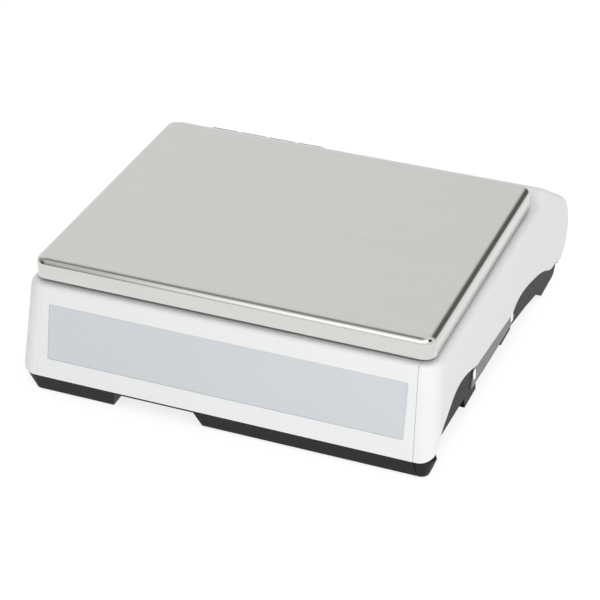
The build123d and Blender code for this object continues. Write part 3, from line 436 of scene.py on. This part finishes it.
def mesh_piece(name, bm, body, material, smooth=False):
    bmesh.ops.recalc_face_normals(bm, faces=bm.faces)
    mesh = bpy.data.meshes.new(name)
    bm.to_mesh(mesh)
    bm.free()
    piece = bpy.data.objects.new(name, mesh)
    bpy.context.scene.collection.objects.link(piece)
    if smooth:
        smooth_by_angle(mesh)
    return finish_piece(piece, body, material)


SHARP_ANGLE = math.radians(35)


def smooth_by_angle(mesh):
    for face in mesh.polygons:
        face.use_smooth = True
    mesh.set_sharp_from_angle(angle=SHARP_ANGLE)


def plane_matrix(origin, x_axis, normal):
    """Places flat work: x along x_axis, z along normal."""
    z = Vector(normal).normalized()
    x = Vector(x_axis).normalized()
    y = z.cross(x)
    turn = Matrix((x, y, z)).transposed().to_4x4()
    return Matrix.Translation(origin) @ turn


def face_centre(node, normal, depth=0.00006):
    """Middle of a node's outermost face in the direction of normal."""
    normal = Vector(normal).normalized()
    points = [v.co for v in NODES[node].data.vertices]
    top = max(p.dot(normal) for p in points)
    face = [p for p in points if p.dot(normal) > top - depth]
    across = normal.cross(Vector((1, 0, 0))).normalized()
    along = across.cross(normal)
    middle = Vector((0, 0, 0))
    for axis in (across, along):
        values = [p.dot(axis) for p in face]
        middle += axis * (min(values) + max(values)) / 2
    return middle + normal * top


def text_mesh(text, size):
    """Flat filled outline of a short text, centred on its own middle."""
    curve = bpy.data.curves.new("text", "FONT")
    curve.body = text
    curve.size = size
    curve.resolution_u = 3
    holder = bpy.data.objects.new("text", curve)
    bpy.context.scene.collection.objects.link(holder)
    bpy.context.view_layer.update()
    graph = bpy.context.evaluated_depsgraph_get()
    mesh = bpy.data.meshes.new_from_object(holder.evaluated_get(graph))
    bpy.data.objects.remove(holder)
    bm = bmesh.new()
    bm.from_mesh(mesh)
    bpy.data.meshes.remove(mesh)
    centre_flat(bm)
    return bm


def centre_flat(bm):
    xs = [v.co.x for v in bm.verts]
    ys = [v.co.y for v in bm.verts]
    middle = Vector(((min(xs) + max(xs)) / 2, (min(ys) + max(ys)) / 2, 0))
    bmesh.ops.translate(bm, verts=bm.verts, vec=-middle)


def thicken(bm, thickness):
    """Raises flat faces into a closed sheet."""
    grown = bmesh.ops.extrude_face_region(bm, geom=bm.faces[:])
    raised = [g for g in grown["geom"] if isinstance(g, bmesh.types.BMVert)]
    bmesh.ops.translate(bm, verts=raised, vec=(0, 0, thickness))


def add_polygon(bm, points):
    bm.faces.new([bm.verts.new((x, y, 0)) for x, y in points])


def ring_points(radius, count, centre=(0, 0)):
    step = 2 * math.pi / count
    x, y = centre
    return [(x + radius * math.cos(i * step), y + radius * math.sin(i * step)) for i in range(count)]


def rounded_outline(width, height, radius, steps=6):
    """Points of a rectangle with rounded corners, centred."""
    points = []
    for i, (sx, sy) in enumerate(((1, 1), (-1, 1), (-1, -1), (1, -1))):
        cx, cy = sx * (width / 2 - radius), sy * (height / 2 - radius)
        for k in range(steps + 1):
            angle = math.pi / 2 * (i + k / steps)
            points.append((cx + radius * math.cos(angle), cy + radius * math.sin(angle)))
    return points


def add_band(bm, outer, inner):
    """Flat band between two outlines with the same number of points."""
    a = [bm.verts.new((x, y, 0)) for x, y in outer]
    b = [bm.verts.new((x, y, 0)) for x, y in inner]
    for i in range(len(a)):
        k = (i + 1) % len(a)
        bm.faces.new((a[i], a[k], b[k], b[i]))


def lathe(profile, steps, scallop=None):
    """Closed body of revolution about z from (radius, z) points; scallop scales the radii."""
    bm = bmesh.new()
    rings = []
    for radius, z in profile:
        if radius == 0:
            rings.append([bm.verts.new((0, 0, z))])
            continue
        ring = []
        for i in range(steps):
            angle = 2 * math.pi * i / steps
            r = radius * (scallop(radius, i) if scallop else 1)
            ring.append(bm.verts.new((r * math.cos(angle), r * math.sin(angle), z)))
        rings.append(ring)
    for low, high in zip(rings, rings[1:]):
        for i in range(steps):
            k = (i + 1) % steps
            corners = [low[i % len(low)], low[k % len(low)]]
            corners += [high[k % len(high)], high[i % len(high)]]
            bm.faces.new(list(dict.fromkeys(corners)))
    return bm


# ---- operator's console --------------------------------------------------------------------
KEY_NORMAL = -Vector(JOINTS["key_5_press"]["axis"])
CONSOLE_RIGHT = Vector((-1, 0, 0))       # to the operator's right
INK_THICKNESS = 0.06 * MM
MARK_HEIGHT = 7.5 * MM
MARK_SINK = 0.01 * MM
POINT_RADIUS = 0.9 * MM
KEY_MARKS = {
    "key_0": "0", "key_1": "1", "key_2": "2", "key_3": "3", "key_4": "4", "key_5": "5", "key_6": "6",
    "key_7": "7", "key_8": "8", "key_9": "9", "key_point": ".", "key_clear": "C", "key_zero": "0",
    "key_tare": "T", "key_memory": "M", "key_total": "+",
}


def ink(name, colour):
    return plastic(name, colour, 0.4, 0.0003, 0.000003, 0.05)


INK_WHITE = ink("ink_white", (0.88, 0.88, 0.88))
INK_DARK = ink("ink_dark", (0.02, 0.02, 0.025))
INK_SEGMENT = ink("ink_segment", (0.06, 0.07, 0.06))


def key_marks():
    """Printed mark of each key."""
    for node, text in KEY_MARKS.items():
        if text == ".":
            bm = bmesh.new()
            add_polygon(bm, ring_points(POINT_RADIUS, 20))
        else:
            bm = text_mesh(text, MARK_HEIGHT)
        thicken(bm, INK_THICKNESS)
        place = face_centre(node, KEY_NORMAL) - KEY_NORMAL * MARK_SINK
        bm.transform(plane_matrix(place, CONSOLE_RIGHT, KEY_NORMAL))
        mesh_piece(node + "_mark", bm, BODY_OF[node], INK_WHITE)


# Middle of each bar in half digit widths and heights, and whether the bar lies flat.
DIGIT_BARS = (
    (0, 1, True), (1, 0.5, False), (1, -0.5, False), (0, -1, True),
    (-1, -0.5, False), (-1, 0.5, False), (0, 0, True),
)
DIGIT_SIZE = (5.4 * MM, 10.0 * MM)
DIGIT_PITCH = 7.9 * MM
DIGIT_LEAN = 0.12
DIGIT_Y = -2 * MM
DIGITS = 4
BAR = 1.1 * MM
BAR_GAP = 0.25 * MM
DOT_RADIUS = 0.6 * MM
DOT_Y = -7 * MM
FIELDS = 3
FIELD_PITCH = 35 * MM
RULE_SIZE = (0.3 * MM, 24 * MM)


def add_digit(bm, x0, y0):
    """Seven bars of one display digit."""
    half_w, half_h = DIGIT_SIZE[0] / 2, DIGIT_SIZE[1] / 2
    half_bar = BAR / 2
    for x, y, flat in DIGIT_BARS:
        cx, cy = x0 + x * half_w, y0 + y * half_h
        reach = (half_w if flat else half_h / 2) - BAR_GAP
        outline = [
            (-reach, 0), (-reach + half_bar, half_bar), (reach - half_bar, half_bar), (reach, 0),
            (reach - half_bar, -half_bar), (-reach + half_bar, -half_bar)]
        if not flat:
            outline = [(-v, u) for u, v in outline]
        add_polygon(bm, [(cx + u + DIGIT_LEAN * (cy + v - y0), cy + v) for u, v in outline])


def display_digits():
    """Bars of three number fields on the operator's display, seen through its window."""
    bm = bmesh.new()
    for field in range(FIELDS):
        start = (field - (FIELDS - 1) / 2) * FIELD_PITCH
        for i in range(DIGITS):
            add_digit(bm, start + (i - (DIGITS - 1) / 2) * DIGIT_PITCH, DIGIT_Y)
        add_polygon(bm, ring_points(DOT_RADIUS, 12, (start + DIGIT_PITCH, DOT_Y)))
    x, y = RULE_SIZE[0] / 2, RULE_SIZE[1] / 2
    for field in range(FIELDS - 1):
        middle = (field + 1 - (FIELDS - 1) / 2 - 0.5) * FIELD_PITCH
        add_polygon(bm, [(middle - x, -y), (middle + x, -y), (middle + x, y), (middle - x, y)])
    thicken(bm, INK_THICKNESS)
    bm.transform(plane_matrix(face_centre("operator_lcd", KEY_NORMAL), CONSOLE_RIGHT, KEY_NORMAL))
    mesh_piece("display_segments", bm, BODY_OF["operator_lcd"], INK_SEGMENT)


BORDER_SIZE = (123.2 * MM, 39.2 * MM)
BORDER_WIDTH = 3.4 * MM
BORDER_CORNERS = (2.1 * MM, 1.2 * MM)    # outer and inner
BORDER_THICKNESS = 0.05 * MM
BORDER_LIFT = 0.005 * MM


def window_border():
    """Dark printed border of the operator's window."""
    width, height = BORDER_SIZE
    inner = (width - 2 * BORDER_WIDTH, height - 2 * BORDER_WIDTH)
    bm = bmesh.new()
    outer_corner, inner_corner = BORDER_CORNERS
    add_band(bm, rounded_outline(width, height, outer_corner), rounded_outline(*inner, inner_corner))
    thicken(bm, BORDER_THICKNESS)
    place = face_centre("operator_window", KEY_NORMAL) + KEY_NORMAL * BORDER_LIFT
    bm.transform(plane_matrix(place, CONSOLE_RIGHT, KEY_NORMAL))
    mesh_piece("operator_window_border", bm, BODY_OF["operator_window"], INK_DARK)


# ---- feet ----------------------------------------------------------------------------------
FEET = range(1, 5)
WHEEL_LOW = 3.0 * MM             # underside and top of the finger wheel, above the foot of its stud
WHEEL_HIGH = 7.15 * MM
WHEEL_CHAMFER = 0.5 * MM
WHEEL_STEPS = 128
SCALLOP_DEPTH = 0.035
SCALLOP_FROM_R = 8 * MM
PIN_R = 3.0 * MM
PIN_CHAMFER = 0.1 * MM
COLLAR = (4.2 * MM, 0.3 * MM)    # radius and height of the shoulder under the thread
THREAD_R = 4.0 * MM
THREAD_PITCH = 1.25 * MM
THREAD_DEPTH = 0.6 * MM
THREAD_STEPS = 28
ROWS_PER_PITCH = 6


def scallop(radius, i):
    """Finger grips round the wheel's rim."""
    if radius <= SCALLOP_FROM_R:
        return 1
    return 1 - SCALLOP_DEPTH * (1 - abs(math.cos(i * math.pi / 4)))


def foot_studs():
    """Finger wheel and threaded shank of each levelling foot."""
    steel = MATERIALS["foot_steel"]
    for number in FEET:
        node = "foot_stud_%d" % number
        low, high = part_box(node)
        axis = ((low.x + high.x) / 2, (low.y + high.y) / 2, 0)
        rim = (high.x - low.x) / 2
        face = rim - WHEEL_CHAMFER
        under, top = low.z + WHEEL_LOW, low.z + WHEEL_HIGH
        collar_top = top + COLLAR[1]
        knob = lathe([
            (0, low.z), (PIN_R - PIN_CHAMFER, low.z), (PIN_R, low.z + PIN_CHAMFER), (PIN_R, under),
            (face, under), (rim, under + WHEEL_CHAMFER), (rim, top - WHEEL_CHAMFER), (face, top),
            (COLLAR[0], top), (COLLAR[0], collar_top), (0, collar_top),
        ], WHEEL_STEPS, scallop)
        bmesh.ops.translate(knob, verts=knob.verts, vec=axis)
        piece = mesh_piece(node + "_wheel", knob, BODY_OF[node], steel, True)
        thread = thread_body(THREAD_R, top, high.z)
        bmesh.ops.translate(thread, verts=thread.verts, vec=axis)
        mesh_piece(node + "_thread", thread, BODY_OF[node], steel, True)
        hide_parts(node)


def thread_body(radius, low, high):
    """Screw shank with a helical V thread."""
    rows = int((high - low) / THREAD_PITCH * ROWS_PER_PITCH)
    bm = bmesh.new()
    rings = []
    for row in range(rows + 1):
        z = low + (high - low) * row / rows
        ring = []
        for i in range(THREAD_STEPS):
            turn = i / THREAD_STEPS
            wave = abs(((z / THREAD_PITCH - turn) % 1) * 2 - 1)
            end = min(1.0, (high - z) / THREAD_PITCH)
            r = radius - THREAD_DEPTH * (1 - wave * end)
            angle = 2 * math.pi * turn
            ring.append(bm.verts.new((r * math.cos(angle), r * math.sin(angle), z)))
        rings.append(ring)
    for a, b in zip(rings, rings[1:]):
        for i in range(THREAD_STEPS):
            k = (i + 1) % THREAD_STEPS
            bm.faces.new((a[i], a[k], b[k], b[i]))
    bm.faces.new(rings[0])
    bm.faces.new(rings[-1])
    return bm


PAD_ROUND = 0.8 * MM
PAD_STEPS = 72
ROUND_STEPS = 5
TREAD_DEPTH = 0.5 * MM
TREAD_RINGS = (5.4 * MM, 8.4 * MM)
TREAD_LIP = 0.2 * MM
TREAD_WIDTH = 1.2 * MM
TREAD_CENTRE = (2.6 * MM, 2.8 * MM)
WAIST = (0.6 * MM, 0.2 * MM)     # half height of the waist groove, outside and at its bottom
WAIST_DEPTH = 0.5 * MM
SOCKET_R = 3.1 * MM
SOCKET_FLOOR = 2 * MM


def pad_profile(r, z0, z1):
    """Section of a rubber foot, from the middle of its tread to the bottom of its socket."""
    groove = z0 + TREAD_DEPTH
    profile = [(0, groove), (TREAD_CENTRE[0], groove), (TREAD_CENTRE[1], z0)]
    for edge in TREAD_RINGS:
        profile += [
            (edge, z0), (edge + TREAD_LIP, groove), (edge + TREAD_WIDTH - TREAD_LIP, groove),
            (edge + TREAD_WIDTH, z0)]
    quarter = [math.pi / 2 * k / ROUND_STEPS for k in range(ROUND_STEPS + 1)]
    centre = r - PAD_ROUND
    for angle in quarter:
        z = z0 + PAD_ROUND - PAD_ROUND * math.cos(angle)
        profile.append((centre + PAD_ROUND * math.sin(angle), z))
    middle = (z0 + z1) / 2
    waist = r - WAIST_DEPTH
    profile += [
        (r, middle - WAIST[0]), (waist, middle - WAIST[1]), (waist, middle + WAIST[1]),
        (r, middle + WAIST[0])]
    for angle in quarter:
        z = z1 - PAD_ROUND + PAD_ROUND * math.sin(angle)
        profile.append((centre + PAD_ROUND * math.cos(angle), z))
    floor = z0 + SOCKET_FLOOR
    return profile + [(SOCKET_R, z1), (SOCKET_R, floor), (0, floor)]


def foot_pads():
    """Moulded rubber feet with a rounded rim, a waist groove and rings in the tread."""
    for number in FEET:
        node = "foot_pad_%d" % number
        low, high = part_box(node)
        pad = lathe(pad_profile((high.x - low.x) / 2, low.z, high.z), PAD_STEPS)
        axis = ((low.x + high.x) / 2, (low.y + high.y) / 2, 0)
        bmesh.ops.translate(pad, verts=pad.verts, vec=axis)
        piece = mesh_piece(node + "_moulded", pad, BODY_OF[node], MATERIALS["rubber"], True)
        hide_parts(node)


# ---- small marks ---------------------------------------------------------------------------
ROCKER_FACE_COS = 0.8            # least turn of the rocker's front faces to the left
ROCKER_TIP = 0.01
ON_BAR = (4.4 * MM, 0.7 * MM, 0.3 * MM)  # length, width, corner radius
OFF_RING = (2.0 * MM, 1.4 * MM)


def rocker_marks():
    """A bar and a circle on the two halves of the power rocker."""
    low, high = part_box("power_rocker")
    middle = (low.y + high.y) / 2
    fronts = []
    for face in NODES["power_rocker"].data.polygons:
        if face.normal.x < -ROCKER_FACE_COS and abs(face.normal.y) > ROCKER_TIP:
            fronts.append(face)
    for name, side in (("rocker_mark_on", -1), ("rocker_mark_off", 1)):
        half = [face for face in fronts if side * (face.center.y - middle) > 0]
        largest = max(half, key=lambda face: face.area)
        area = sum(face.area for face in half)
        centre = sum((face.center * face.area for face in half), Vector()) / area
        bm = bmesh.new()
        if side < 0:
            add_polygon(bm, rounded_outline(*ON_BAR))
        else:
            add_band(bm, ring_points(OFF_RING[0], 32), ring_points(OFF_RING[1], 32))
        thicken(bm, INK_THICKNESS)
        bm.transform(plane_matrix(centre, (0, 0, 1), largest.normal))
        mesh_piece(name, bm, BODY_OF["power_rocker"], INK_WHITE)


SIGHT_RING = (3.0 * MM, 2.7 * MM)
SIGHT_THICKNESS = 0.04 * MM
BUBBLE_R = 1.9 * MM
BUBBLE_FLATNESS = 0.25
BUBBLE_OFFSET = Vector((-0.3, 0.2, -0.3)) * MM


def bubble_air():
    m = Shader("bubble")
    m.colour(m.mix(m.noise(0.002), (0.85, 0.93, 0.60), (0.93, 0.98, 0.75)))
    m.set("Roughness", 0.05)
    return m.done


def level_details():
    """Bubble and sight ring of the spirit level."""
    low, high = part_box("level_vial")
    body = BODY_OF["level_vial"]
    centre = Vector(((low.x + high.x) / 2, (low.y + high.y) / 2, high.z))
    bm = bmesh.new()
    add_band(bm, ring_points(SIGHT_RING[0], 40), ring_points(SIGHT_RING[1], 40))
    thicken(bm, SIGHT_THICKNESS)
    bmesh.ops.translate(bm, verts=bm.verts, vec=centre)
    mesh_piece("level_sight_ring", bm, body, INK_DARK)
    bubble = bmesh.new()
    bmesh.ops.create_uvsphere(bubble, u_segments=28, v_segments=14, radius=BUBBLE_R)
    bmesh.ops.scale(bubble, verts=bubble.verts, vec=(1, 1, BUBBLE_FLATNESS))
    bmesh.ops.translate(bubble, verts=bubble.verts, vec=centre + BUBBLE_OFFSET)
    mesh_piece("level_bubble", bubble, body, bubble_air(), True)


ARROW = ((-5 * MM, -3 * MM), (5 * MM, -3 * MM), (0, 4 * MM))
ARROW_THICKNESS = 0.4 * MM
ARROW_BEVEL = 0.12 * MM
ARROW_FROM_EDGE = 16 * MM
DOOR_RIB = 0.7 * MM              # the grip ribs stand this far below the door's face


def door_arrow():
    """Raised arrow on the battery door, pointing the way it slides."""
    low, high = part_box("battery_door")
    centre = Vector(((low.x + high.x) / 2, low.y + ARROW_FROM_EDGE, low.z + DOOR_RIB))
    bm = bmesh.new()
    add_polygon(bm, ARROW)
    thicken(bm, ARROW_THICKNESS)
    bmesh.ops.bevel(bm, geom=bm.edges[:], offset=ARROW_BEVEL, segments=2, affect="EDGES")
    bm.transform(plane_matrix(centre, (1, 0, 0), (0, 0, -1)))
    black = MATERIALS["base_plastic"]
    mesh_piece("battery_door_arrow", bm, BODY_OF["battery_door"], black, True)


bpy.context.scene.view_settings.view_transform = "Standard"
add_camera()
add_studio()
add_floor()
for area_light in AREA_LIGHTS:
    add_light(*area_light)
dress_nodes()
key_marks()
display_digits()
window_border()
foot_studs()
foot_pads()
rocker_marks()
level_details()
door_arrow()
